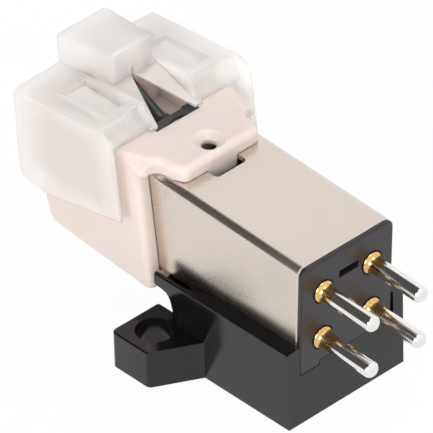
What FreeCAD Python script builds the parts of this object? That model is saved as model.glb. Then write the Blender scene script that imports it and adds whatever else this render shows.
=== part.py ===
# Half-inch-mount turntable stylus cartridge, shown with its mounting face down
# Millimetres. Origin midway between the two mounting holes on the mounting face
# +X runs along the line of the two holes, +Y towards the stylus, +Z towards the record

import FreeCAD
import Part
import os
from math import cos, radians, sin, tan

os.makedirs("parts", exist_ok=True)
V = FreeCAD.Vector
X_AXIS = V(1, 0, 0)
Y_AXIS = V(0, 1, 0)
Z_AXIS = V(0, 0, 1)

# Fits
RUN_GAP = 0.04
SEAT_GAP = 0.06

# Mounting base
HOLE_X = 6.35
HOLE_R = 1.31
BASE_HALF = 5.11
BASE_REAR = -11.10
BASE_FRONT = 1.30
BASE_WAIST = -0.34
BASE_TOP = 6.04
EAR_RIM = 0.75
EAR_HALF = HOLE_X + HOLE_R + EAR_RIM
EAR_INNER = 4.18
EAR_FRONT = HOLE_R + 0.68
EAR_REAR = -HOLE_R - 0.21
EAR_ROOT = -3.30
EAR_TOP = 2.77
NOTCH_FLOOR = 4.17
LEG_FLOOR = 3.82
LEG_INNER = 2.33

# Shield can, drawn level and then tipped by its pitch
CAN_PITCH = 2.74
CAN_LIFT = 5.16
CAN_HALF = 4.06
CAN_HIGH = 7.60
CAN_WALL = 0.35
CAN_REAR = -10.78
CAN_FRONT = 5.00
CAN_EDGE = 0.55
SLOT_HALF = 1.34
SLOT_REAR = -0.48
REAR_SOFT = 0.12

# Terminal plate and its four contact pins
PLATE_BACK = -11.12
PLUG_FRONT = -9.40
PIN_X = 2.13
PIN_W = (5.10, 1.36)
PIN_TIP = -15.86
PIN_R = 0.57
COLLAR_R = 0.80
CORE_R = 0.30
RECESS = 0.14

# Coils and pole pieces inside the can
COIL_GAP = 0.15
COIL_INNER = 0.24
COIL_OUTER = CAN_HALF - CAN_WALL - COIL_GAP
COIL_X = (COIL_OUTER + COIL_INNER) / 2
BOBBIN_HALF = (COIL_OUTER - COIL_INNER) / 2
WINDING_HALF = BOBBIN_HALF - 0.20
COIL_W = 3.80
LIMB_X = 1.00
LIMB_W = 1.80
COIL_REAR = -7.40
COIL_FRONT = -1.20
FLANGE = 0.40
TIP_INNER = 0.72

# Stylus holder
HOLD_HALF = 5.05
HOLD_INNER = CAN_HALF + SEAT_GAP
HOLD_TOP = 8.72
CHEEK = 1.31
LIP_HALF = HOLD_HALF - 1.85
LIP_REAR = 0.40
BOSS_RIGHT = 0.66
CSK_Y = 1.70
CSK_R = 1.09
CSK_HOLE_R = 0.52
CSK_DEEP = 0.28
CHANNEL_HALF = 1.90
CHANNEL_REAR = 4.12
CHANNEL_FRONT = 7.90
TRENCH_HALF = 0.90

# Cantilever line, on the plane of symmetry
PIVOT_Y = 3.20
PIVOT_Z = 11.95
RISE = 27.6
SLEEVE_R = 0.85
DAMPER_R = 0.62
STEM_R = 0.28
ARM_R = 0.43
SHANK = 0.11

# Stylus guard
GUARD_HALF = 6.27
GUARD_WALL = 0.36
WING_PLATE = 0.55
WING_FRONT = (13.10, 15.04)
WING_FALL = 0.092
WING_SWEEP = tan(radians(3.0))
WING_REAR_Y = 5.30
NOSE_FRONT_HALF = 2.25
NOSE_REAR_HALF = 1.72
NOSE_FRONT = 13.27
NOSE_REAR = 8.35
NOSE_RISE = 2.37
NOSE_TOP = WING_FRONT[1] + NOSE_RISE
VALLEY_HALF = 2.05
RAMP_FRONT = (8.80, 15.70)
RAMP_REAR = (4.30, 14.34)
V_HALF = 1.66
GUARD_SOFT = 0.16


def box(x0, x1, y0, y1, z0, z1):
    return Part.makeBox(x1 - x0, y1 - y0, z1 - z0, V(x0, y0, z0))


def face_of(points):
    return Part.Face(Part.makePolygon(points + [points[0]]))


def side_prism(points, x0, x1):
    return face_of([V(x0, y, z) for y, z in points]).extrude(V(x1 - x0, 0, 0))


def plan_prism(points, z0, z1):
    return face_of([V(x, y, z0) for x, y in points]).extrude(V(0, 0, z1 - z0))


def soft_prism(corners, z0, z1):
    # Straight-sided outline with a radius at each corner, raised from z0 to z1
    count = len(corners)
    edges = []
    last = None
    first = None
    for i in range(count):
        x, y, r = corners[i]
        here = V(x, y, z0)
        back = V(corners[i - 1][0], corners[i - 1][1], z0) - here
        ahead = V(corners[(i + 1) % count][0], corners[(i + 1) % count][1], z0) - here
        back.normalize()
        ahead.normalize()
        if r > 0:
            half = back.getAngle(ahead) / 2
            start = here + back * (r / tan(half))
            end = here + ahead * (r / tan(half))
            split = (back + ahead).normalize()
            middle = here + split * (r / sin(half) - r)
        else:
            start = here
            end = here
        if last is not None and last.distanceToPoint(start) > 1e-7:
            edges.append(Part.makeLine(last, start))
        if first is None:
            first = start
        if r > 0:
            edges.append(Part.Arc(start, middle, end).toShape())
        last = end
    edges.append(Part.makeLine(last, first))
    return Part.Face(Part.Wire(edges)).extrude(V(0, 0, z1 - z0))


def rod(radius, start, end):
    line = end - start
    return Part.makeCylinder(radius, line.Length, start, line)


def turned(profile, start, along):
    # Revolve a list of (distance, radius) pairs about a line
    points = [V(0, 0, profile[0][0])]
    points += [V(r, 0, d) for d, r in profile]
    points += [V(0, 0, profile[-1][0])]
    body = face_of(points).revolve(V(0, 0, 0), Z_AXIS, 360)
    body.Placement = FreeCAD.Placement(start, FreeCAD.Rotation(Z_AXIS, along))
    return body


def over(point, normal, reach=40.0):
    # Everything on the far side of a plane
    block = Part.makeBox(2 * reach, 2 * reach, reach, V(-reach, -reach, 0))
    block.Placement = FreeCAD.Placement(point, FreeCAD.Rotation(Z_AXIS, normal))
    return block


def mirror_x(shape):
    return shape.mirror(V(0, 0, 0), X_AXIS)


def tipped(shape):
    # From the level drawing of the can to its pitched place on the base
    out = shape.copy()
    out.rotate(V(0, 0, 0), X_AXIS, CAN_PITCH)
    out.translate(V(0, 0, CAN_LIFT))
    return out


def tipped_point(x, y, w):
    pitch = radians(CAN_PITCH)
    return V(x, y * cos(pitch) - w * sin(pitch), y * sin(pitch) + w * cos(pitch) + CAN_LIFT)


def tipped_z(y, w):
    return CAN_LIFT + w * cos(radians(CAN_PITCH)) + y * tan(radians(CAN_PITCH))


def level_w(y, z):
    return (z - CAN_LIFT - y * tan(radians(CAN_PITCH))) / cos(radians(CAN_PITCH))


def edges_where(shape, test):
    return [e for e in shape.Edges if test(e)]


def along(edge, axis):
    if len(edge.Vertexes) != 2:
        return False
    line = edge.Vertexes[1].Point - edge.Vertexes[0].Point
    return line.Length > 1e-6 and abs(line.normalize().dot(axis)) > 0.999


def mid(edge):
    return edge.CenterOfMass


def rounded(shape, radius, test):
    return shape.makeFillet(radius, edges_where(shape, test))


def one(shape):
    return shape.removeSplitter()


def save(name, shape):
    shape = one(shape)
    solids = shape.Solids
    if len(solids) != 1 or not shape.isValid():
        raise ValueError("%s has %d solids, valid %s" % (name, len(solids), shape.isValid()))
    solids[0].exportStep("parts/%s.step" % name)
    print("%-22s %8.2f mm3" % (name, solids[0].Volume))
    return solids[0]


# Outline of the top of an ear, without the rim of its hole
def on_ear_rim(edge):
    spot = mid(edge)
    from_hole = V(abs(spot.x) - HOLE_X, spot.y, 0).Length
    return abs(spot.z - EAR_TOP) < 0.01 and abs(spot.x) > BASE_HALF + 0.05 and from_hole > HOLE_R + 0.1


# Black base: block, two ears, tray for the can, notched rear wall
def mount_base():
    outline = [(BASE_REAR, 0), (BASE_REAR, BASE_TOP), (BASE_FRONT, BASE_TOP), (BASE_FRONT, 5.30)]
    outline += [(1.22, 5.18), (1.08, 5.12), (0.55, 5.08), (0.24, 5.00), (0.02, 4.84)]
    outline += [(-0.15, 4.58), (-0.27, 4.24), (BASE_WAIST, 3.85), (BASE_WAIST, 0)]
    block = side_prism(outline, -BASE_HALF, BASE_HALF)
    ear = plan_prism([(EAR_INNER, BASE_WAIST - 1), (EAR_INNER, EAR_FRONT), (EAR_HALF, EAR_FRONT),
                      (EAR_HALF, EAR_REAR), (BASE_HALF, EAR_ROOT), (BASE_HALF - 1, EAR_ROOT - 0.55)],
                     0, EAR_TOP)
    ear = rounded(ear, 0.45, lambda e: along(e, Z_AXIS) and mid(e).x > EAR_HALF - 0.01)
    ear = rounded(ear, 0.25, lambda e: along(e, Z_AXIS) and mid(e).x < EAR_INNER + 0.01
                  and mid(e).y > EAR_FRONT - 0.01)
    body = block.fuse(ear).fuse(mirror_x(ear))
    tray_half = CAN_HALF + RUN_GAP
    body = body.cut(tipped(box(-tray_half, tray_half, CAN_REAR - 0.02, 6, -0.01, 4)))
    thin = BASE_HALF - 0.25
    lip = [(tray_half - 0.2, -3.4), (tray_half, -3.4), (thin, -1.2), (thin, 3), (tray_half - 0.2, 3)]
    floor = tipped_z(-2, -0.01)
    wedge = plan_prism(lip, floor, 8)
    body = body.cut(wedge).cut(mirror_x(wedge))
    body = body.cut(box(-CAN_HALF, CAN_HALF + 0.16, BASE_REAR - 1, CAN_REAR + 0.05, NOTCH_FLOOR, 8))
    body = body.cut(box(-CAN_HALF, -LEG_INNER, BASE_REAR - 1, CAN_REAR + 0.05, LEG_FLOOR, 8))
    for side in (-1, 1):
        body = body.cut(rod(HOLE_R, V(side * HOLE_X, 0, -1), V(side * HOLE_X, 0, 4)))
    body = one(body)
    body = rounded(body, 0.18, lambda e: along(e, Y_AXIS) and abs(abs(mid(e).x) - BASE_HALF) < 0.01
                   and mid(e).z > BASE_TOP - 0.01)
    return body.makeChamfer(0.09, edges_where(body, on_ear_rim))


# Outer outline of the open end of the can
def on_can_rear(edge):
    box_of = edge.BoundBox
    outside = max(abs(box_of.XMin), abs(box_of.XMax)) > CAN_HALF - 0.01 or box_of.ZMin > CAN_HIGH - 0.01
    outside = outside or box_of.ZMax < 0.01
    return outside and box_of.YMax < CAN_REAR + 0.01


# Folded metal can, open at the rear, slotted on top and in its front wall
def shield_can():
    outer = box(-CAN_HALF, CAN_HALF, CAN_REAR, CAN_FRONT, 0, CAN_HIGH)
    outer = rounded(outer, CAN_EDGE, lambda e: along(e, Y_AXIS))
    inner = box(-CAN_HALF + CAN_WALL, CAN_HALF - CAN_WALL, CAN_REAR - 1, CAN_FRONT - CAN_WALL,
                CAN_WALL, CAN_HIGH - CAN_WALL)
    inner = rounded(inner, CAN_EDGE - CAN_WALL, lambda e: along(e, Y_AXIS))
    can = outer.cut(inner)
    can = can.makeChamfer(REAR_SOFT, edges_where(can, on_can_rear))
    slot = box(-SLOT_HALF, SLOT_HALF, SLOT_REAR, CAN_FRONT + 1, CAN_HIGH - 1.2, CAN_HIGH + 1)
    slot = rounded(slot, 0.3, lambda e: along(e, Z_AXIS) and mid(e).y < SLOT_REAR + 0.01)
    mouth = box(-SLOT_HALF, SLOT_HALF, CAN_FRONT - 1, CAN_FRONT + 1, 3.0, CAN_HIGH + 1)
    return tipped(can.cut(slot).cut(mouth))


# Black terminal plate: flange over the end of the can, plug inside it, one leg down
def terminal_plate():
    flange = box(-CAN_HALF + 0.02, CAN_HALF - 0.02, PLATE_BACK, CAN_REAR - 0.01, 0.0, CAN_HIGH)
    flange = rounded(flange, 0.6, lambda e: along(e, Y_AXIS) and mid(e).z > 1)
    foot_w = level_w(PLATE_BACK, NOTCH_FLOOR) + 0.02
    flange = flange.fuse(box(-CAN_HALF + 0.04, CAN_HALF - 0.02, PLATE_BACK, CAN_REAR - 0.01, foot_w, 1.0))
    leg_w = level_w(PLATE_BACK, LEG_FLOOR) + 0.02
    flange = flange.fuse(box(-CAN_HALF + 0.04, -LEG_INNER - 0.03, PLATE_BACK, CAN_REAR - 0.01, leg_w, 1.0))
    flange = one(flange)
    rim = edges_where(flange, lambda e: abs(e.BoundBox.YMin - PLATE_BACK) < 1e-4
                      and abs(e.BoundBox.YMax - PLATE_BACK) < 1e-4 and mid(e).z > 2)
    flange = flange.makeChamfer(0.12, rim)
    side = CAN_HALF - CAN_WALL - RUN_GAP
    plug = box(-side, side, CAN_REAR - 0.1, PLUG_FRONT, CAN_WALL + RUN_GAP, CAN_HIGH - CAN_WALL - RUN_GAP)
    plug = rounded(plug, 0.22, lambda e: along(e, Y_AXIS))
    plate = flange.fuse(plug)
    for x in (-PIN_X, PIN_X):
        for w in PIN_W:
            plate = plate.cut(rod(CORE_R, V(x, PLATE_BACK - 1, w), V(x, 0, w)))
            plate = plate.cut(rod(COLLAR_R + 0.10, V(x, PLATE_BACK - 1, w), V(x, PLATE_BACK + RECESS, w)))
    bar = box(-0.75, 0.95, PLATE_BACK - 1, PLATE_BACK + 1.20, 5.40, 5.98)
    return tipped(plate.cut(bar))


# Turned contact pin: core and tail in the plate, collar and long round shaft
def contact_pin(x, w):
    seat = -PLATE_BACK - RECESS
    steps = [(9.0, CORE_R), (seat, CORE_R), (seat, 0.72), (seat + 0.10, COLLAR_R), (seat + 0.32, COLLAR_R)]
    steps += [(seat + 0.46, 0.66), (seat + 0.46, PIN_R)]
    for angle in (0, 28, 56, 84):
        steps.append((-PIN_TIP - 0.45 + 0.45 * sin(radians(angle)),
                      PIN_R - 0.45 + 0.45 * cos(radians(angle))))
    return tipped(turned(steps, V(x, 0, w), V(0, -1, 0)))


def on_coil(side, half_x, half_w, y0, y1):
    x = side * COIL_X
    return box(x - half_x, x + half_x, y0, y1, COIL_W - half_w, COIL_W + half_w)


# Bobbin: square tube with a flange at each end
def coil_bobbin(side):
    bore_x = LIMB_X / 2 + RUN_GAP
    bore_w = LIMB_W / 2 + RUN_GAP
    tube = on_coil(side, bore_x + 0.28, bore_w + 0.28, COIL_REAR, COIL_FRONT)
    for y0 in (COIL_REAR, COIL_FRONT - FLANGE):
        tube = tube.fuse(on_coil(side, BOBBIN_HALF, 2.70, y0, y0 + FLANGE))
    return tipped(tube.cut(on_coil(side, bore_x, bore_w, COIL_REAR - 1, COIL_FRONT + 1)))


# Winding: the copper bundle on the bobbin between its flanges
def coil(side):
    hub_x = LIMB_X / 2 + RUN_GAP + 0.28
    hub_w = LIMB_W / 2 + RUN_GAP + 0.28
    ring = on_coil(side, WINDING_HALF, 2.35, COIL_REAR + FLANGE, COIL_FRONT - FLANGE)
    ring = rounded(ring, 0.6, lambda e: along(e, Y_AXIS))
    return tipped(ring.cut(on_coil(side, hub_x, hub_w, COIL_REAR, COIL_FRONT)))


# Pole piece: limb through the coil, riser at the front, foot turned in to the magnet
def pole_core(side):
    limb = on_coil(side, LIMB_X / 2, LIMB_W / 2, -7.90, 2.30)
    outer = COIL_X + LIMB_X / 2
    riser = box(COIL_X - LIMB_X / 2, outer, 0.90, 2.30, COIL_W, 6.85)
    foot = box(TIP_INNER, outer, 0.90, 2.30, 5.45, 6.85)
    grown = riser.fuse(foot)
    if side < 0:
        grown = mirror_x(grown)
    return tipped(limb.fuse(grown))


# Yoke: the bar that closes the magnetic path behind both coils
def core_yoke():
    outer = COIL_X + LIMB_X / 2 + 0.1
    return tipped(box(-outer, outer, -8.60, -7.90, COIL_W - LIMB_W / 2, COIL_W + LIMB_W / 2))


# Earth tab: thin strip from one pin tail to the wall of the can
def ground_tab():
    x = PIN_X
    w = PIN_W[1]
    ring = rod(0.62, V(x, -9.14, w), V(x, -9.36, w)).cut(rod(CORE_R + 0.01, V(x, -9, w), V(x, -10, w)))
    wall = CAN_HALF - CAN_WALL
    strip = box(x + 0.5, wall - 0.2, -9.36, -9.14, w - 0.3, w + 0.3)
    spring = box(wall - 0.22, wall, -9.36, -7.6, w - 0.3, w + 0.3)
    return tipped(ring.fuse(strip).fuse(spring))


def arm_point(distance):
    return V(0, PIVOT_Y + distance * cos(radians(RISE)), PIVOT_Z + distance * sin(radians(RISE)))


ARM_LINE = V(0, cos(radians(RISE)), sin(radians(RISE)))


# Plan outline of the top of the holder: cheek, hollow corner and lip, with corner radii
def lip_plan():
    cheek = HOLD_HALF - CHEEK
    right = [(HOLD_HALF, 13.0, 0), (HOLD_HALF, 2.60, 0.52), (cheek, 2.60, 0.75), (cheek - 0.14, 1.20, 0)]
    right += [(LIP_HALF, LIP_REAR, 0.52)]
    return right + [(-x, y, r) for x, y, r in reversed(right)]


# Ivory holder: cap over the front of the can, countersunk lip, channel for the arm
def stylus_holder():
    front_low = V(0, 11.55, 6.80)
    front_lean = V(0, 1, -0.066)
    side = [(1.76, 4.36), (10.70, 5.12), (11.21, 5.52), (11.55, 6.80), (12.6, 16), (3.0, 16)]
    body = side_prism(side, -HOLD_HALF, HOLD_HALF)
    body = rounded(body, 0.45, lambda e: abs(abs(mid(e).x) - HOLD_HALF) < 0.01 and mid(e).y < 3.2
                   and e.Length > 8)
    seam = CAN_HIGH + SEAT_GAP
    body = body.cut(tipped(box(-6, 6, 0, 15, seam, 14)))
    top = soft_prism(lip_plan(), seam, HOLD_TOP)
    top = rounded(top, 0.50, lambda e: mid(e).z > HOLD_TOP - 0.01 and mid(e).y < 12.5)
    body = body.fuse(tipped(top)).cut(over(front_low, front_lean))
    nest = box(-HOLD_INNER, HOLD_INNER, -1, CAN_FRONT + 0.10, -SEAT_GAP, CAN_HIGH + SEAT_GAP)
    body = body.cut(tipped(nest))
    slot_fit = SLOT_HALF - SEAT_GAP
    boss = box(-slot_fit, BOSS_RIGHT, SLOT_REAR + SEAT_GAP, LIP_REAR + 0.45, 7.00, HOLD_TOP - 0.12)
    boss = rounded(boss, 0.36, lambda e: along(e, Z_AXIS) and mid(e).x < 0 and mid(e).y < LIP_REAR)
    boss = rounded(boss, 0.30, lambda e: mid(e).z > HOLD_TOP - 0.13 and mid(e).y < LIP_REAR)
    socket = box(-1.26, 1.26, 2.56, CHANNEL_REAR, 5.10, CAN_HIGH + 0.3)
    body = body.fuse(tipped(boss.fuse(socket)))
    slope_point = tipped_point(HOLD_HALF, 2.60, HOLD_TOP - 0.82)
    cheek = over(slope_point, V(1.886, -0.861, 2.415))
    body = body.cut(cheek).cut(mirror_x(cheek))
    high = tipped_z(CHANNEL_REAR, HOLD_TOP) + 2
    body = body.cut(box(-CHANNEL_HALF, CHANNEL_HALF, CHANNEL_REAR, CHANNEL_FRONT, 13.12, high))
    trench = [(CHANNEL_REAR, 11.30), (CHANNEL_REAR, high), (13, high), (13, 16.2), (7.9, 13.42), (5.2, 12.0)]
    body = body.cut(side_prism(trench, -TRENCH_HALF, TRENCH_HALF))
    hole = rod(CSK_HOLE_R, V(0, CSK_Y, 6.0), V(0, CSK_Y, 12.0))
    flare = (CSK_R - CSK_HOLE_R) / CSK_DEEP
    sink = Part.makeCone(CSK_HOLE_R, CSK_R + 0.04 * flare, CSK_DEEP + 0.04,
                         V(0, CSK_Y, HOLD_TOP - CSK_DEEP), Z_AXIS)
    body = body.cut(tipped(hole)).cut(tipped(sink))
    body = body.cut(rod(SLEEVE_R, arm_point(-3), arm_point(1.2)))
    return body


# Black insert across the channel: two feet and an arched bar that grows into a collar over the arm
def cantilever_carrier():
    deck = tipped_z(4.6, HOLD_TOP) + 0.02
    bar = [(1.84, 4.18), (1.84, 5.12), (1.10, 5.16), (0.80, 5.30), (0.60, 5.60)]
    bar += [(-x, y) for x, y in reversed(bar)]
    body = plan_prism(bar, 13.14, deck)
    body = body.cut(rod(3.2, V(0, 4.72 - 3.2, 12), V(0, 4.72 - 3.2, 16)).common(box(-1.1, 1.1, 3, 6, 12, 16)))
    collar = [(4.70, deck - 0.30), (4.70, deck), (5.45, deck + 0.30), (5.45, deck)]
    collar = side_prism(collar, -0.62, 0.62)
    taper = plan_prism([(0.62, 4.6), (0.60, 5.0), (0.40, 5.45), (-0.40, 5.45), (-0.60, 5.0), (-0.62, 4.6)], 12, 16)
    body = body.fuse(collar.common(taper))
    tunnel = rod(ARM_R + 0.14, arm_point(0), arm_point(5))
    return body.cut(tunnel)


def suspension_sleeve():
    tube = rod(SLEEVE_R, arm_point(-0.62), arm_point(0.92))
    return tube.cut(rod(DAMPER_R, arm_point(-2), arm_point(2)))


# Ring of rubber that carries the arm at its pivot
def rubber_damper():
    ring = rod(DAMPER_R, arm_point(-0.30), arm_point(0.30))
    return ring.cut(rod(STEM_R + 0.05, arm_point(-1), arm_point(1)))


# Tapered arm: thin stem through the damper, thick root, slim front end cut on a slant
def cantilever():
    steps = [(-0.95, STEM_R), (1.10, STEM_R), (1.30, ARM_R), (9.10, 0.26)]
    arm = turned(steps, arm_point(0), ARM_LINE)
    seat = arm_point(8.72)
    return arm.cut(box(-SHANK, SHANK, seat.y - SHANK, seat.y + SHANK, seat.z - 0.5, seat.z + 1.5))


def magnet():
    return rod(0.35, arm_point(-2.15), arm_point(-0.95))


# Diamond: square shank with a ground cone at its end
def stylus_tip():
    foot = arm_point(8.72) + V(0, 0, -0.30)
    shank = box(-SHANK, SHANK, foot.y - SHANK, foot.y + SHANK, foot.z, foot.z + 0.80)
    return shank.fuse(Part.makeCone(SHANK, 0.015, 0.20, foot + V(0, 0, 0.80), Z_AXIS))


def wing_z(x, y):
    return WING_FRONT[1] + (GUARD_HALF - x) * WING_SWEEP + (WING_FRONT[0] - y) * WING_FALL


def wing_over(drop, side=1):
    normal = V(side * WING_SWEEP, WING_FALL, 1)
    return over(V(side * GUARD_HALF, WING_FRONT[0], WING_FRONT[1] - drop), normal)


def ramp_over(drop):
    slope = (RAMP_FRONT[1] - RAMP_REAR[1]) / (RAMP_FRONT[0] - RAMP_REAR[0])
    return over(V(0, RAMP_REAR[0], RAMP_REAR[1] - drop), V(0, -slope, 1))


def on_outer_face(edge):
    return all(abs(v.Point.x - GUARD_HALF) < 0.002 for v in edge.Vertexes)


# One wing of the guard: side wall, top plate with a sunk window, rear wall, inner pads
def guard_wing():
    inner = GUARD_HALF - GUARD_WALL
    front = WING_FRONT[0]
    high = WING_FRONT[1] + 1.46
    back = WING_REAR_Y - 0.06
    wall = [(front - 0.60, 8.52), (front + 0.10, 10.20), (front + 0.50, high), (back, high)]
    wall += [(back, wing_z(GUARD_HALF, back))]
    wall += [(4.74, 15.66), (4.14, 15.36), (3.84, 15.02), (3.18, 9.53), (10.10, 8.16)]
    wing = side_prism(wall, inner, GUARD_HALF)
    plate = box(VALLEY_HALF, GUARD_HALF, WING_REAR_Y, front + 0.50, high - 3.0, high + 0.3)
    wing = wing.fuse(plate.cut(over_cut(WING_PLATE)))
    wing = one(wing.cut(over(V(0, front, WING_FRONT[1]), V(0, 1, -0.048))).cut(wing_over(0)))
    wing = wing.makeChamfer(GUARD_SOFT, edges_where(wing, on_outer_face))
    rear = [(WING_REAR_Y, 16.6), (WING_REAR_Y + 0.05, tipped_z(5.35, HOLD_TOP) + 0.05)]
    rear += [(5.86, tipped_z(5.86, HOLD_TOP) + 0.05), (5.86, 16.6)]
    wing = wing.fuse(side_prism(rear, VALLEY_HALF, inner + 0.1))
    block = [(WING_REAR_Y, 16.6), (4.55, tipped_z(4.55, HOLD_TOP) + 0.05)]
    block += [(5.50, tipped_z(5.50, HOLD_TOP) + 0.05), (5.86, 14.9), (5.86, 16.6)]
    wing = wing.fuse(side_prism(block, 3.75, inner + 0.1))
    divider = [(5.0, tipped_z(5.0, HOLD_TOP) + 0.05), (5.0, 16.6), (9.2, 16.6), (9.2, 14.6)]
    wing = wing.fuse(side_prism(divider, VALLEY_HALF, VALLEY_HALF + 0.40))
    wing = wing.cut(wing_over(0))
    floor = [(6.05, tipped_z(6.05, HOLD_TOP) + 0.06), (10.25, tipped_z(10.25, HOLD_TOP) + 0.06)]
    window = side_prism([(y, z) for y, z in floor] + [(10.25, 14.9), (6.05, 15.2)], 2.40, 4.90)
    wing = wing.fuse(window)
    sunk = [(y, z + 0.26) for y, z in floor] + [(10.25, 17), (6.05, 17)]
    wing = wing.cut(side_prism(sunk, 2.45, 4.62))
    return wing


def over_cut(drop):
    # Below the underside of the wing plate
    normal = V(-WING_SWEEP, -WING_FALL, -1)
    return over(V(GUARD_HALF, WING_FRONT[0], WING_FRONT[1] - drop), normal)


# Hollow nose over the stylus
def guard_nose():
    slope = -0.096
    top = over(V(0, NOSE_FRONT, NOSE_TOP), V(0, -slope, 1))
    plan = [(-NOSE_FRONT_HALF, 13.4), (NOSE_FRONT_HALF, 13.4), (NOSE_REAR_HALF, NOSE_REAR),
            (-NOSE_REAR_HALF, NOSE_REAR)]
    nose = plan_prism(plan, WING_FRONT[1] - 0.34, NOSE_TOP + 2).cut(top)
    nose = nose.cut(over(V(0, NOSE_FRONT, NOSE_TOP), V(0, 1, -0.080)))
    return rounded(nose, 0.22, lambda e: mid(e).z > WING_FRONT[1] - 0.2)


# Translucent guard clipped over the holder: two wings, nose, front wall and notched ramp
def stylus_guard():
    wing = guard_wing()
    body = wing.fuse(mirror_x(wing)).fuse(guard_nose())
    front = side_prism([(12.25, 8.50), (12.50, 8.52), (12.82, 9.29), (13.09, 15.0), (12.53, 15.0)],
                       -GUARD_HALF + 0.3, GUARD_HALF - 0.3)
    body = body.fuse(front)
    ramp = box(-VALLEY_HALF - 0.2, VALLEY_HALF + 0.2, RAMP_REAR[0], 9.4, 13.4, 16.6)
    ramp = ramp.cut(ramp_over(0))
    slope = (RAMP_FRONT[1] - RAMP_REAR[1]) / (RAMP_FRONT[0] - RAMP_REAR[0])
    under = over(V(0, RAMP_REAR[0], RAMP_REAR[1] - 0.24), V(0, slope + 0.02, -1))
    ramp = ramp.cut(under)
    body = body.fuse(ramp)
    notch = plan_prism([(-V_HALF, RAMP_REAR[0] - 0.3), (-V_HALF, RAMP_REAR[0]), (0, RAMP_FRONT[0]),
                        (V_HALF, RAMP_REAR[0]), (V_HALF, RAMP_REAR[0] - 0.3)], 13, 16.2)
    body = body.cut(notch)
    hollow = plan_prism([(-1.72, 12.62), (1.72, 12.62), (1.24, 8.85), (-1.24, 8.85)], 13.5, 19)
    roof = over(V(0, NOSE_FRONT, NOSE_TOP - 0.5), V(0, 0.096, 1))
    body = body.cut(hollow.cut(roof))
    body = body.cut(side_prism([(7.4, 13.4), (9.6, 13.4), (9.6, 15.72), (8.8, 15.46), (7.4, 14.98)], -0.62, 0.62))
    for y0, y1 in ((5.02, 6.6), (8.8, 10.4)):
        pad = box(HOLD_HALF + RUN_GAP, GUARD_HALF - 0.3, y0, y1, 9.6, 13.4)
        body = body.fuse(pad).fuse(mirror_x(pad))
    return body


def build():
    save("mount_base", mount_base())
    save("shield_can", shield_can())
    save("terminal_plate", terminal_plate())
    number = 1
    for w in PIN_W:
        for x in (-PIN_X, PIN_X):
            save("contact_pin_%d" % number, contact_pin(x, w))
            number += 1
    for name, side in (("left", -1), ("right", 1)):
        save("coil_bobbin_" + name, coil_bobbin(side))
        save("coil_" + name, coil(side))
        save("pole_core_" + name, pole_core(side))
    save("core_yoke", core_yoke())
    save("ground_tab", ground_tab())
    save("stylus_holder", stylus_holder())
    save("cantilever_carrier", cantilever_carrier())
    save("suspension_sleeve", suspension_sleeve())
    save("rubber_damper", rubber_damper())
    save("cantilever", cantilever())
    save("magnet", magnet())
    save("stylus_tip", stylus_tip())
    save("stylus_guard", stylus_guard())


build()
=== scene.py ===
# %% [markdown]
# A turntable stylus cartridge stands on its mounting face with the stylus end up.
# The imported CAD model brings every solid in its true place, so this lesson is about
# the camera, a few finer forms, the light and the finishes: glossy black plastic, satin
# nickel, gold, ivory plastic and the milky plastic of the guard.

import math

import bpy
from mathutils import Matrix, Vector


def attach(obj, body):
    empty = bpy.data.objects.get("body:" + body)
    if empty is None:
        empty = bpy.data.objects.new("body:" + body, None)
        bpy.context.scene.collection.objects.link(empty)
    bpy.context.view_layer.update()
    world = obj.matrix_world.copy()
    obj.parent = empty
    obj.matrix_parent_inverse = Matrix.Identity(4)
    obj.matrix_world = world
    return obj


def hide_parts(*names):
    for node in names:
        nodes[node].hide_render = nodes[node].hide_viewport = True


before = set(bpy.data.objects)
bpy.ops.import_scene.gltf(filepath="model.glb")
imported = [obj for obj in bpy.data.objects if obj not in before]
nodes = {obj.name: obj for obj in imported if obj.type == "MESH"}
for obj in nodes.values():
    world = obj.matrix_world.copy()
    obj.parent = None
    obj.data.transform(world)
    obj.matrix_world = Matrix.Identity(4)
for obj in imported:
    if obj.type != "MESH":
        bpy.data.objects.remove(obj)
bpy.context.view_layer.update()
bpy.ops.object.select_all(action="DESELECT")

# %% [markdown]
# The photo was taken from behind, from the left and from above. Its straight edges gave
# the camera's place and its long lens. A camera could be aimed with a constraint, but a
# fitted one also has a roll, so it is built from three directions instead: right, up and
# back, which are the columns of its rotation.

# %% Camera
AZIMUTH = math.radians(-42.374)
ELEVATION = math.radians(36.634)
ROLL = math.radians(-1.65)
CAMERA_PLACE = Vector((-0.24371, -0.26636, 0.27698))
FOCAL_PIXELS = 7000.0
PHOTO_SIDE = 433.0
SENSOR_WIDTH = 36.0

back = Vector((math.sin(AZIMUTH) * math.cos(ELEVATION), -math.cos(AZIMUTH) * math.cos(ELEVATION),
               math.sin(ELEVATION)))
level_right = Vector((math.cos(AZIMUTH), math.sin(AZIMUTH), 0.0))
level_up = back.cross(level_right)
right = level_right * math.cos(ROLL) + level_up * math.sin(ROLL)
up = level_up * math.cos(ROLL) - level_right * math.sin(ROLL)
turn = Matrix((right, up, back)).transposed().to_4x4()

camera_data = bpy.data.cameras.new("photo_camera")
camera_data.sensor_fit = "HORIZONTAL"
camera_data.sensor_width = SENSOR_WIDTH
camera_data.lens = FOCAL_PIXELS / PHOTO_SIDE * SENSOR_WIDTH
camera_data.clip_start = 0.01
camera_data.clip_end = 20.0
camera_data.dof.use_dof = False
camera = bpy.data.objects.new("photo_camera", camera_data)
camera.matrix_world = Matrix.Translation(CAMERA_PLACE) @ turn
bpy.context.scene.collection.objects.link(camera)
bpy.context.scene.camera = camera
bpy.context.scene.view_settings.view_transform = "Standard"
print("lens mm:", round(camera_data.lens, 1))

# %% [markdown]
# Shader nodes are easier to read as sums than as boxes and wires. A Wire holds one
# output of a node, so that plus, minus and times add Math nodes. A Finish holds one
# material, and its node method makes any other node from its type, settings and sockets.

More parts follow.
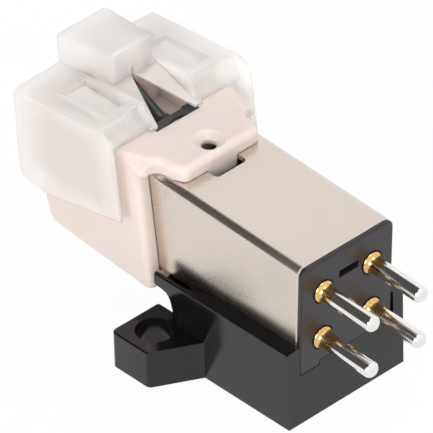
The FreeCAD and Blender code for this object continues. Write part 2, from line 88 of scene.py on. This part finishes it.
# %% Shader helpers
class Wire:
    def __init__(self, finish, socket):
        self.finish = finish
        self.socket = socket

    def maths(self, operation, *values):
        made = self.finish.node("ShaderNodeMath", {"operation": operation}, dict(enumerate(values)))
        return Wire(self.finish, made.outputs[0])

    def __add__(self, other):
        return self.maths("ADD", self, other)

    def __radd__(self, other):
        return self.maths("ADD", other, self)

    def __rsub__(self, other):
        return self.maths("SUBTRACT", other, self)

    def __mul__(self, other):
        return self.maths("MULTIPLY", self, other)

    def __rmul__(self, other):
        return self.maths("MULTIPLY", other, self)

    def ramp(self, low, high):
        # 0 below low, 1 above high, smooth between
        made = self.finish.node("ShaderNodeMapRange", {"interpolation_type": "SMOOTHSTEP"},
                                {"Value": self, "From Min": low, "From Max": high})
        return Wire(self.finish, made.outputs["Result"])

    def below(self, level, soft):
        # 1 up to the level and 0 above it, with a soft edge
        return 1.0 - self.ramp(level, level + soft)

    def between(self, low, high, soft):
        # 1 from low to high and 0 outside, with soft edges
        return self.ramp(low - soft, low) * self.below(high, soft)


class Finish:
    def __init__(self, name, owner=None):
        self.data = owner or bpy.data.materials.new(name)
        self.data.use_nodes = True
        self.tree = self.data.node_tree
        self.tree.nodes.clear()

    def node(self, kind, settings=None, inputs=None):
        made = self.tree.nodes.new(kind)
        for key, value in (settings or {}).items():
            setattr(made, key, value)
        for key, value in (inputs or {}).items():
            if isinstance(value, Wire):
                self.tree.links.new(value.socket, made.inputs[key])
            else:
                made.inputs[key].default_value = value
        return made

    def wire(self, kind, output=0, settings=None, inputs=None):
        return Wire(self, self.node(kind, settings, inputs).outputs[output])

    def place(self):
        return self.wire("ShaderNodeTexCoord", "Object")

    def axis(self, letter):
        return self.wire("ShaderNodeSeparateXYZ", letter, None, {"Vector": self.place()})

    def noise(self, scale, detail=3.0):
        return self.wire("ShaderNodeTexNoise", "Fac", None,
                         {"Vector": self.place(), "Scale": scale, "Detail": detail})

    def blend(self, factor, first, second):
        return self.wire("ShaderNodeMix", 2, {"data_type": "RGBA"}, {0: factor, 6: first, 7: second})

    def bump(self, height, distance, strength):
        return self.wire("ShaderNodeBump", "Normal", None,
                         {"Height": height, "Distance": distance, "Strength": strength})

    def mixed(self, factor, first, second):
        return self.wire("ShaderNodeMixShader", 0, None, {0: factor, 1: first, 2: second})

    def skin(self, **sockets):
        return self.wire("ShaderNodeBsdfPrincipled", 0, None,
                         {key.replace("_", " "): value for key, value in sockets.items()})

    def output(self, shader):
        self.node("ShaderNodeOutputMaterial", None, {"Surface": shader})
        return self.data

    def surface(self, **sockets):
        return self.output(self.skin(**sockets))


def dress(names, finish):
    for name in names:
        for slot in nodes[name].material_slots:
            slot.material = finish
    print("finish on", len(names), "nodes:", finish.name)


def tint(red, green, blue):
    return (red, green, blue, 1.0)


print("shader helpers ready")


# %% [markdown]
# The can and all that it carries are drawn level and then tipped a little on the base.
# Some pieces get a finer shape here than their CAD solid has. They could be modelled
# anew, but a copy of the solid already fits its neighbours. So such a piece starts as a
# copy, is cut and joined with blocks, rods and cones, and then stands for its node.

# %% Helpers for the finer pieces
MM = 0.001
PITCH = math.radians(2.74)
LIFT = 5.16
MERGE_DISTANCE = 1e-7
ROUND_SIDES = 64


def tipped(x, y, w):
    # A point of the level drawing, in millimetres, in its tipped place in metres
    return MM * Vector((x, y * math.cos(PITCH) - w * math.sin(PITCH),
                        y * math.sin(PITCH) + w * math.cos(PITCH) + LIFT))


def only(piece):
    bpy.ops.object.select_all(action="DESELECT")
    piece.select_set(True)
    bpy.context.view_layer.objects.active = piece


def copied(node, name):
    # A CAD mesh is loose triangles, so a copy of it is merged before it is cut
    made = bpy.data.objects.new(name, nodes[node].data.copy())
    bpy.context.scene.collection.objects.link(made)
    only(made)
    bpy.ops.mesh.customdata_custom_splitnormals_clear()
    bpy.ops.object.mode_set(mode="EDIT")
    bpy.ops.mesh.select_all(action="SELECT")
    bpy.ops.mesh.remove_doubles(threshold=MERGE_DISTANCE)
    bpy.ops.object.mode_set(mode="OBJECT")
    return made


def placed():
    # The object just added, with its place, turn and size put into its mesh
    bpy.ops.object.transform_apply(location=True, rotation=True, scale=True)
    return bpy.context.object


def block(low, high, level=True):
    # A block between two corners in millimetres. A block of the level drawing is tipped
    # with the can, and any other stands straight
    middle = [(a + b) / 2 for a, b in zip(low, high)]
    place = tipped(*middle) if level else MM * Vector(middle)
    bpy.ops.mesh.primitive_cube_add(size=1, location=place, rotation=(PITCH if level else 0, 0, 0))
    bpy.context.object.scale = [MM * (b - a) for a, b in zip(low, high)]
    return placed()


def side_block(side, low, high, level=True):
    # The same on one side of the part, where x counts from the middle plane outwards
    left, right = sorted((side * low[0], side * high[0]))
    return block((left, *low[1:]), (right, *high[1:]), level)


def along_line(start, end):
    # What a round primitive needs to reach from one point to another, in metres
    line = end - start
    return {"vertices": ROUND_SIDES, "depth": line.length, "location": (start + end) / 2,
            "rotation": line.to_track_quat("Z", "Y").to_euler()}


def rod(radius, start, end):
    bpy.ops.mesh.primitive_cylinder_add(radius=radius * MM, **along_line(start, end))
    return placed()


def cone(first_radius, second_radius, start, end):
    bpy.ops.mesh.primitive_cone_add(radius1=first_radius * MM, radius2=second_radius * MM,
                                    **along_line(start, end))
    return placed()


def combine(piece, tool, operation):
    only(piece)
    step = piece.modifiers.new("step", "BOOLEAN")
    step.operation = operation
    step.solver = "EXACT"
    step.object = tool
    bpy.ops.object.modifier_apply(modifier=step.name)
    bpy.data.objects.remove(tool)


def finished(piece, finish, body, node, soft=32):
    piece.data.materials.clear()
    piece.data.materials.append(finish)
    only(piece)
    bpy.ops.object.shade_smooth_by_angle(angle=math.radians(soft))
    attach(piece, body)
    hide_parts(node)
    bpy.ops.object.select_all(action="DESELECT")
    print("piece", piece.name, "faces", len(piece.data.polygons))


print("can tipped by degrees:", round(math.degrees(PITCH), 2), "lifted by mm:", LIFT)

# %% [markdown]
# The base is moulded in shiny black plastic. The photo shows the ear mirrored in the
# side wall, so the roughness stays low, with only a slight ripple and a fine grain. The
# plate at the rear is a little greyer and duller, so it gets a finish of its own.

# %% Black plastic of the base and the plate
def black_base():
    f = Finish("base_black")
    cloud = f.noise(900.0)
    grain = f.noise(9000.0, 2.0)
    colour = f.blend(cloud, tint(0.004, 0.0035, 0.004), tint(0.009, 0.008, 0.0085))
    return f.surface(Base_Color=colour, Roughness=0.08 + 0.10 * cloud, IOR=1.45,
                     Normal=f.bump(grain, 0.000004, 0.35))


def black_plate():
    f = Finish("plate_black")
    cloud = f.noise(1500.0)
    grain = f.noise(14000.0, 2.0)
    colour = f.blend(cloud, tint(0.014, 0.012, 0.014), tint(0.026, 0.022, 0.024))
    return f.surface(Base_Color=colour, Roughness=0.30 + 0.12 * cloud, IOR=1.48,
                     Normal=f.bump(grain, 0.000006, 0.5))


dress(["terminal_plate"], black_plate())

# %% [markdown]
# At its front end the base closes under the gap between the can and its side walls, so
# that no light shows from below. A thin floor on each side does this. It is joined to a
# copy of the solid, because a loose plate would show a seam in the shiny plastic.

# %% Base with closed front corners
CORNER_FLOOR_LOW = (3.80, 0.10, 5.03)
CORNER_FLOOR_HIGH = (5.00, 1.24, 5.14)


def base_closed():
    base = copied("mount_base", "base_closed")
    for side in (-1, 1):
        combine(base, side_block(side, CORNER_FLOOR_LOW, CORNER_FLOOR_HIGH, level=False), "UNION")
    finished(base, black_base(), "cartridge", "mount_base")


base_closed()

# %% [markdown]
# The can is folded sheet with a warm, satin nickel skin. A single roughness would make
# its reflections smooth as wax, so a fine grain in the roughness spreads them without
# hiding the ivory lip and the black base that it mirrors. Towards the pins it is duller.

# %% Satin nickel of the can
# Distances towards the pins in metres, as a material reads them
DULL_FROM = 0.0060
DULL_TO = 0.0108


def satin_nickel():
    f = Finish("can_nickel")
    cloud = f.noise(500.0)
    speck = f.noise(16000.0, 2.0)
    colour = f.blend(cloud, tint(0.68, 0.61, 0.545), tint(0.74, 0.665, 0.60))
    dull = (0.0 - f.axis("Y")).ramp(DULL_FROM, DULL_TO)
    return f.surface(Base_Color=colour, Metallic=1.0,
                     Roughness=0.19 + 0.13 * speck + 0.03 * cloud + 0.05 * dull,
                     Normal=f.bump(speck, 0.000003, 0.4))


dress(["shield_can"], satin_nickel())

# %% [markdown]
# Each pin is gold at its collar and neck and bright white metal on its shaft. Two
# materials on one pin would need its faces split at the boundary. The boundary is a
# plane across the pins, so a mask along them mixes the two colours instead.

# %% Gold and white metal of the pins
NECK_END = 0.01256
PLATING_EDGE = 0.00004


def pin_metal():
    f = Finish("pin_metal")
    shaft = (0.0 - f.axis("Y")).ramp(NECK_END - PLATING_EDGE, NECK_END + PLATING_EDGE)
    wear = f.noise(2500.0)
    gold = f.blend(wear, tint(0.70, 0.44, 0.17), tint(0.82, 0.55, 0.24))
    white = f.blend(wear, tint(0.78, 0.76, 0.74), tint(0.88, 0.87, 0.85))
    return f.surface(Base_Color=f.blend(shaft, gold, white), Metallic=1.0,
                     Roughness=0.08 + 0.10 * wear)


# %% [markdown]
# A pin is turned on a lathe. Its collar has a round rim and sweeps into the neck in a
# hollow curve. A spun outline would do, but drawing a circle out ring by ring leaves no
# seam and no pole. One pin is made in this way and copied to its four places.

# %% Turned pins
PIN_PLACES = {"contact_pin_1": (-2.13, 5.10), "contact_pin_2": (2.13, 5.10),
              "contact_pin_3": (-2.13, 1.36), "contact_pin_4": (2.13, 1.36)}
PIN_R = 0.57
PIN_SIDES = 56
TIP_R = 0.40
PIN_END = 15.86
SEAT = 10.98
# Distance from the seat and radius at each ring of the collar
COLLAR = [(0.00, 0.70), (0.03, 0.755), (0.08, 0.79), (0.15, 0.80), (0.22, 0.79), (0.27, 0.755),
          (0.31, 0.71), (0.36, 0.665), (0.43, 0.625), (0.52, 0.593), (0.63, 0.575), (0.75, PIN_R)]


def pin_rings():
    rings = [(SEAT + distance, radius) for distance, radius in COLLAR]
    for degrees in range(0, 91, 15):
        angle = math.radians(degrees)
        rings.append((PIN_END - TIP_R + TIP_R * math.sin(angle),
                      PIN_R - TIP_R + TIP_R * math.cos(angle)))
    return rings


def turned_pin():
    rings = pin_rings()
    distance, radius = rings[0]
    bpy.ops.mesh.primitive_circle_add(vertices=PIN_SIDES, radius=radius * MM, fill_type="NGON",
                                      location=(0, -distance * MM, 0), rotation=(math.pi / 2, 0, 0))
    pin = placed()
    bpy.ops.object.mode_set(mode="EDIT")
    bpy.ops.mesh.select_all(action="SELECT")
    for further, wider in rings[1:]:
        step = (0, -(further - distance) * MM, 0)
        bpy.ops.mesh.extrude_region_move(TRANSFORM_OT_translate={"value": step})
        grow = wider / radius
        bpy.ops.transform.resize(value=(grow, 1, grow), center_override=(0, -further * MM, 0))
        distance, radius = further, wider
    bpy.ops.mesh.select_all(action="SELECT")
    bpy.ops.mesh.normals_make_consistent(inside=False)
    bpy.ops.object.mode_set(mode="OBJECT")
    return pin


metal_of_pins = pin_metal()
master = turned_pin()
for node, (x, w) in PIN_PLACES.items():
    pin = bpy.data.objects.new(node + "_turned", master.data.copy())
    bpy.context.scene.collection.objects.link(pin)
    only(pin)
    pin.location = tipped(x, 0, w)
    pin.rotation_euler = (PITCH, 0, 0)
    finished(placed(), metal_of_pins, "cartridge", node)
bpy.data.objects.remove(master)

# %% [markdown]
# The stylus holder is ivory plastic with a pink warmth. A plain colour would look like
# paint, so a little light sinks into it, which softens its shadows. Its skin is smooth
# but not shiny.

# %% Ivory plastic of the holder
def ivory():
    f = Finish("holder_ivory")
    cloud = f.noise(400.0)
    grain = f.noise(8000.0, 2.0)
    colour = f.blend(cloud, tint(0.70, 0.605, 0.56), tint(0.74, 0.65, 0.61))
    return f.surface(Base_Color=colour, Roughness=0.34 + 0.10 * cloud, IOR=1.5,
                     Subsurface_Weight=0.6, Subsurface_Scale=0.0012,
                     Subsurface_Radius=(1.0, 0.7, 0.5), Normal=f.bump(grain, 0.000004, 0.3))


# %% [markdown]
# Under its lip the holder has a tongue that fills the can's slot, flush with the lip. The
# solid has a raised block there. The block is cut away as far as the face of the lip, the
# lip's edge is rounded again where the block stood, and the tongue is put under it.

# %% Tongue of the holder
LIP_FACE = 0.395
ABOVE_LIP = 9.3
BESIDE_LIP = 3
RAISED_BLOCK_LOW = (-1.6, -1.0, 6.5)
RAISED_BLOCK_HIGH = (1.1, LIP_FACE, ABOVE_LIP)
EDGE_FROM = -1.34
EDGE_TO = 0.72
EDGE_ROUND = 0.505
EDGE_MIDDLE = (0.90, 8.22)
TONGUE_HALF = 1.279
TONGUE_LOW = (-TONGUE_HALF, LIP_FACE + 0.004, 6.70)
TONGUE_HIGH = (TONGUE_HALF, 0.84, 8.0)


def cut_block_away(cap):
    combine(cap, block(RAISED_BLOCK_LOW, RAISED_BLOCK_HIGH), "DIFFERENCE")
    y, w = EDGE_MIDDLE
    corner = block((EDGE_FROM, 0.0, w), (EDGE_TO, y, ABOVE_LIP))
    edge = rod(EDGE_ROUND, tipped(-BESIDE_LIP, y, w), tipped(BESIDE_LIP, y, w))
    combine(corner, edge, "DIFFERENCE")
    combine(cap, corner, "DIFFERENCE")


def add_tongue(cap):
    combine(cap, block(TONGUE_LOW, TONGUE_HIGH), "UNION")


holder_cap = copied("stylus_holder", "holder_cap")
cut_block_away(holder_cap)
add_tongue(holder_cap)
print("tongue width mm:", round(2 * TONGUE_HALF, 2))

# %% [markdown]
# The small hole in the lip is a deep countersink over a thin wall. In a thick lip it would
# show a pale bottom, so a pocket is cut below it and the hole looks black.

# %% Countersunk hole
HOLE_Y = 1.70
POCKET_TOP = 8.00
POCKET_LOW = (-0.95, 0.90, 6.5)
POCKET_HIGH = (0.95, 2.50, POCKET_TOP)
SINK_BOTTOM = 8.28
SINK_TOP = 8.75
SINK_BOTTOM_R = 0.50
SINK_TOP_R = 1.08


def sink_hole(cap):
    combine(cap, block(POCKET_LOW, POCKET_HIGH), "DIFFERENCE")
    sink = cone(SINK_BOTTOM_R, SINK_TOP_R, tipped(0, HOLE_Y, SINK_BOTTOM), tipped(0, HOLE_Y, SINK_TOP))
    combine(cap, sink, "DIFFERENCE")


sink_hole(holder_cap)
print("wall under the countersink mm:", round(SINK_BOTTOM - POCKET_TOP, 2))

# %% [markdown]
# The arm runs out through a bore in a pale bridge at the rear of the channel. On the
# bridge lies a low shelf with a round front, which the black insert closes around. Both
# stand straight, as the channel does, and the bore follows the line of the arm.

# %% Bridge and shelf in the channel
PIVOT = MM * Vector((0, 3.20, 11.95))
ARM_RISE = math.radians(27.6)
ARM_LINE = Vector((0, math.cos(ARM_RISE), math.sin(ARM_RISE)))
ARM_PAST_HOLDER = 5
BORE_R = 0.60
BRIDGE_LOW = (-0.95, 4.06, 11.2)
BRIDGE_HIGH = (0.95, 4.90, 13.28)
SHELF_LOW = (-1.30, 4.05, 13.30)
SHELF_HIGH = (1.30, 4.60, 13.78)
SHELF_R = 1.69
ARCH_MIDDLE_Y = 2.80
ARCH_HEIGHTS = (12, 15)


def arm_spot(distance):
    # A point on the line of the arm, at a distance in millimetres from its pivot
    return PIVOT + distance * MM * ARM_LINE


def arm_rod(radius):
    # Along the arm, from its pivot to past the holder
    return rod(radius, arm_spot(0), arm_spot(ARM_PAST_HOLDER))


def arch(radius):
    # An upright rod whose front gives the shelf and the insert their round edges
    foot, head = [MM * Vector((0, ARCH_MIDDLE_Y, height)) for height in ARCH_HEIGHTS]
    return rod(radius, foot, head)


def add_bridge(cap):
    bridge = block(BRIDGE_LOW, BRIDGE_HIGH, level=False)
    combine(bridge, arm_rod(BORE_R), "DIFFERENCE")
    shelf = block(SHELF_LOW, SHELF_HIGH, level=False)
    combine(shelf, arch(SHELF_R), "INTERSECT")
    combine(cap, shelf, "UNION")
    combine(cap, bridge, "UNION")


add_bridge(holder_cap)
finished(holder_cap, ivory(), "stylus_unit", "stylus_holder", soft=22)

# %% [markdown]
# The guard is thin milky plastic. Light goes through it but a picture does not, so a
# rough transmission lets the holder show inside as a soft, warm blur. Glass would be too
# clear and plain white too solid. On the ramp beside the notch and on the floors of the
# windows less comes through, so a mask mixes in a denser skin there.

# %% Milky plastic of the guard
# Edges of the two masks in metres, as a material reads them
RAMP_HALF = 0.00192
RAMP_END = 0.0078
WINDOW_ASIDE = (0.0025, 0.0046)
WINDOW_ALONG = (0.0061, 0.01025)
WINDOW_FLOOR = 0.01505
MASK_EDGE = 0.0001
THIN = 0.60
DENSE = 0.15


def milky():
    f = Finish("guard_milky")
    cloud = f.noise(350.0)
    grain = f.noise(5000.0, 2.0)
    colour = f.blend(cloud, tint(1.0, 0.965, 0.94), tint(1.0, 0.975, 0.955))
    across = f.axis("X")
    aside = across.maths("ABSOLUTE", across)
    along = f.axis("Y")
    ramp = aside.below(RAMP_HALF, MASK_EDGE) * along.below(RAMP_END, 5 * MASK_EDGE)
    window = aside.between(*WINDOW_ASIDE, MASK_EDGE) * along.between(*WINDOW_ALONG, MASK_EDGE)
    window = window * f.axis("Z").below(WINDOW_FLOOR, MASK_EDGE)
    thin, dense = [f.skin(Base_Color=colour, Roughness=0.60 + 0.08 * cloud, IOR=1.12,
                          Transmission_Weight=through, Subsurface_Weight=1.0,
                          Subsurface_Scale=0.0013, Subsurface_Radius=(0.75, 0.9, 1.0),
                          Normal=f.bump(grain, 0.000003, 0.3))
                   for through in (THIN, DENSE)]
    return f.output(f.mixed(ramp + window, thin, dense))


# %% [markdown]
# Behind each wing the guard's rear wall runs on as far as the notch, and the windows in
# the wings are shallow. Moving faces of the solid would break its thin walls, so two
# fillings on each side are joined to a copy of it. The wall leans, and so does the tool
# that trims the filling behind it.

# %% Guard with its full rear wall
WALL_LOW = (2.00, 4.75, 8.77)
WALL_HIGH = (3.80, 6.03, 10.44)
WALL_LEAN = math.radians(-15.6)
TRIM_MIDDLE = (0, 2.874, 15.588)
TRIM_SIZE = (20, 4, 6)
FLOOR_LOW = (2.43, 6.44, 8.90)
FLOOR_HIGH = (4.66, 10.72, 9.33)


def trim_tool():
    bpy.ops.mesh.primitive_cube_add(size=1, location=MM * Vector(TRIM_MIDDLE),
                                    rotation=(WALL_LEAN, 0, 0))
    bpy.context.object.scale = MM * Vector(TRIM_SIZE)
    return placed()


def guard_cover():
    cover = copied("stylus_guard", "guard_cover")
    for side in (-1, 1):
        filling = side_block(side, WALL_LOW, WALL_HIGH)
        combine(filling, trim_tool(), "DIFFERENCE")
        combine(cover, filling, "UNION")
        combine(cover, side_block(side, FLOOR_LOW, FLOOR_HIGH), "UNION")
    finished(cover, milky(), "guard", "stylus_guard")


guard_cover()

# %% [markdown]
# The arm and the insert that straddles it are dull black, and so is the rubber ring at
# the pivot. Pure black would swallow their shape. A little grey and an uneven roughness
# let their edges catch some light. One function makes all three from a few numbers.

# %% Black of the arm and its insert
def soft_black(name, low, high, rough):
    f = Finish(name)
    cloud = f.noise(3000.0)
    colour = f.blend(cloud, tint(low, low, low), tint(high, high, high))
    return f.surface(Base_Color=colour, Roughness=rough + 0.15 * cloud, IOR=1.5,
                     Normal=f.bump(cloud, 0.00001, 0.3))


dress(["cantilever"], soft_black("arm_black", 0.012, 0.030, 0.28))
dress(["rubber_damper"], soft_black("damper_rubber", 0.020, 0.045, 0.60))

# %% [markdown]
# The insert is a thin bar with a round gap behind and a foot at each side of the channel.
# It grows forward into a short hollow cone that the arm comes out of. The cone is added
# after the round gap is cut, so that it stays whole, and the bore for the arm is cut
# last, so that it goes clean through both.

# %% Black insert
BAR_LOW = (-1.86, 4.14, 13.32)
BAR_HIGH = (1.86, 4.96, 14.03)
FOOT_LOW = (1.14, 4.15, 13.14)
FOOT_HIGH = (1.865, 5.10, 14.04)
GAP_R = 1.72
CONE_FROM = 1.75
CONE_TO = 2.90
CONE_WIDE_R = 0.84
CONE_NARROW_R = 0.575
INSERT_BORE_R = 0.55


def carrier_shaped():
    insert = block(BAR_LOW, BAR_HIGH, level=False)
    for side in (-1, 1):
        combine(insert, side_block(side, FOOT_LOW, FOOT_HIGH, level=False), "UNION")
    combine(insert, arch(GAP_R), "DIFFERENCE")
    nozzle = cone(CONE_WIDE_R, CONE_NARROW_R, arm_spot(CONE_FROM), arm_spot(CONE_TO))
    combine(insert, nozzle, "UNION")
    combine(insert, arm_rod(INSERT_BORE_R), "DIFFERENCE")
    insert.name = "carrier_shaped"
    black = soft_black("carrier_black", 0.012, 0.028, 0.30)
    finished(insert, black, "stylus_unit", "cantilever_carrier")


carrier_shaped()

# %% [markdown]
# Inside the can sit the parts that make the signal: copper windings on plastic
# bobbins, grey iron, a dark magnet, brass. They are hidden here, but anyone who opens the
# model finds them finished. Modelled turns of wire would cost many faces, so fine stripes
# in a bump stand for them.

# %% Finishes of the hidden parts
def metal(name, first, second, rough):
    f = Finish(name)
    cloud = f.noise(1800.0)
    return f.surface(Base_Color=f.blend(cloud, tint(*first), tint(*second)), Metallic=1.0,
                     Roughness=rough + 0.12 * cloud)


WIRE_PITCH = 0.0001496


def copper_turns():
    f = Finish("copper_turns")
    phase = f.axis("Y") * (2 * math.pi / WIRE_PITCH)
    turns = phase.maths("SINE", phase)
    cloud = f.noise(1500.0)
    colour = f.blend(cloud, tint(0.55, 0.20, 0.08), tint(0.72, 0.32, 0.14))
    return f.surface(Base_Color=colour, Metallic=1.0, Roughness=0.30 + 0.10 * cloud,
                     Normal=f.bump(turns, 0.00002, 0.6))


def bobbin_plastic():
    f = Finish("bobbin_plastic")
    cloud = f.noise(1200.0)
    colour = f.blend(cloud, tint(0.50, 0.44, 0.35), tint(0.60, 0.54, 0.45))
    return f.surface(Base_Color=colour, Roughness=0.45 + 0.1 * cloud)


def diamond():
    f = Finish("diamond")
    cloud = f.noise(4000.0)
    colour = f.blend(cloud, tint(0.90, 0.92, 0.94), tint(0.97, 0.98, 0.99))
    return f.surface(Base_Color=colour, Roughness=0.03 + 0.03 * cloud, IOR=2.4,
                     Transmission_Weight=0.9)


dress(["coil_left", "coil_right"], copper_turns())
dress(["coil_bobbin_left", "coil_bobbin_right"], bobbin_plastic())
dress(["pole_core_left", "pole_core_right", "core_yoke"],
      metal("pole_metal", (0.42, 0.41, 0.40), (0.52, 0.51, 0.49), 0.32))
dress(["magnet"], metal("magnet_dark", (0.22, 0.22, 0.23), (0.30, 0.30, 0.31), 0.35))
dress(["suspension_sleeve", "ground_tab"],
      metal("brass", (0.66, 0.47, 0.20), (0.76, 0.58, 0.28), 0.25))
dress(["stylus_tip"], diamond())

# %% [markdown]
# The photo is a cut-out on white. A white floor takes the part's soft shadow. Stronger
# lamps would whiten it too, but they would burn out the pale plastic. So only rays from
# the camera, from glossy surfaces and through clear ones see its extra white, and that
# white adds no light to the part.

# %% White floor
FLOOR_HALF = 0.9
FLOOR_LEVEL = -0.00002
FLOOR_GLOW = 0.95


def white_floor():
    f = Finish("white_floor")
    seen = f.wire("ShaderNodeLightPath", "Is Camera Ray")
    glossy = f.wire("ShaderNodeLightPath", "Is Glossy Ray")
    through = f.wire("ShaderNodeLightPath", "Is Transmission Ray")
    mask = seen.maths("MAXIMUM", seen, glossy)
    mask = mask.maths("MAXIMUM", mask, through)
    matt = f.wire("ShaderNodeBsdfDiffuse", 0, None, {"Color": tint(0.86, 0.86, 0.86)})
    glow = f.wire("ShaderNodeEmission", 0, None, {"Color": tint(1.0, 1.0, 1.0), "Strength": 1.0})
    return f.output(f.mixed(mask * FLOOR_GLOW, matt, glow))


bpy.ops.mesh.primitive_plane_add(size=2 * FLOOR_HALF, location=(0, 0, FLOOR_LEVEL))
floor = bpy.context.object
floor.name = "floor"
floor.data.materials.append(white_floor())
bpy.ops.object.select_all(action="DESELECT")
print("floor half side m:", FLOOR_HALF)

# %% [markdown]
# The studio is bright on the right and behind the camera, and dark in front on the left.
# The top of the can mirrors the bright right side. The dark part draws the line along the
# can's rounded edge and the streaks on the pins. A picture of a studio would do the same,
# but two soft steps in the direction are enough. The camera itself sees plain white.

# %% World
RIGHT_STEP = (0.18, 0.42)
REAR_STEP = (-0.10, 0.30)
DARK_LEVEL = 0.08
BRIGHT_LEVEL = 1.05


def studio_world():
    world = bpy.data.worlds.new("studio")
    bpy.context.scene.world = world
    f = Finish("studio", world)
    direction = f.wire("ShaderNodeTexCoord", "Generated")
    across = f.wire("ShaderNodeSeparateXYZ", "X", None, {"Vector": direction})
    ahead = f.wire("ShaderNodeSeparateXYZ", "Y", None, {"Vector": direction})
    bright = across.ramp(*RIGHT_STEP)
    bright = bright.maths("MAXIMUM", bright, (0.0 - ahead).ramp(*REAR_STEP))
    seen = f.wire("ShaderNodeLightPath", "Is Camera Ray")
    light = DARK_LEVEL + (BRIGHT_LEVEL - DARK_LEVEL) * bright
    sky = f.wire("ShaderNodeBackground", 0, None,
                 {"Color": tint(1.0, 1.0, 1.0), "Strength": seen.maths("MAXIMUM", seen, light)})
    f.node("ShaderNodeOutputWorld", None, {"Surface": sky})


studio_world()
print("world from", DARK_LEVEL, "to", BRIGHT_LEVEL)

# %% [markdown]
# Two broad lamps model the shapes: one low on the left, one overhead. Small lamps would
# draw hard shadows. At thirty centimetres, against a part of three, these keep them soft.

# %% Lamps
LAMP_SIDE = 0.30
PART_MIDDLE = Vector((0, 0, 0.008))


def lamp(name, place, watts):
    data = bpy.data.lights.new(name, "AREA")
    data.shape = "SQUARE"
    data.size = LAMP_SIDE
    data.energy = watts
    made = bpy.data.objects.new(name, data)
    aim = (PART_MIDDLE - Vector(place)).to_track_quat("-Z", "Y")
    made.matrix_world = Matrix.Translation(place) @ aim.to_matrix().to_4x4()
    bpy.context.scene.collection.objects.link(made)
    print("lamp", name, "watts", watts)


lamp("side_left", (-0.50, -0.12, 0.22), 1.85)
lamp("above", (0.02, -0.12, 0.60), 0.75)
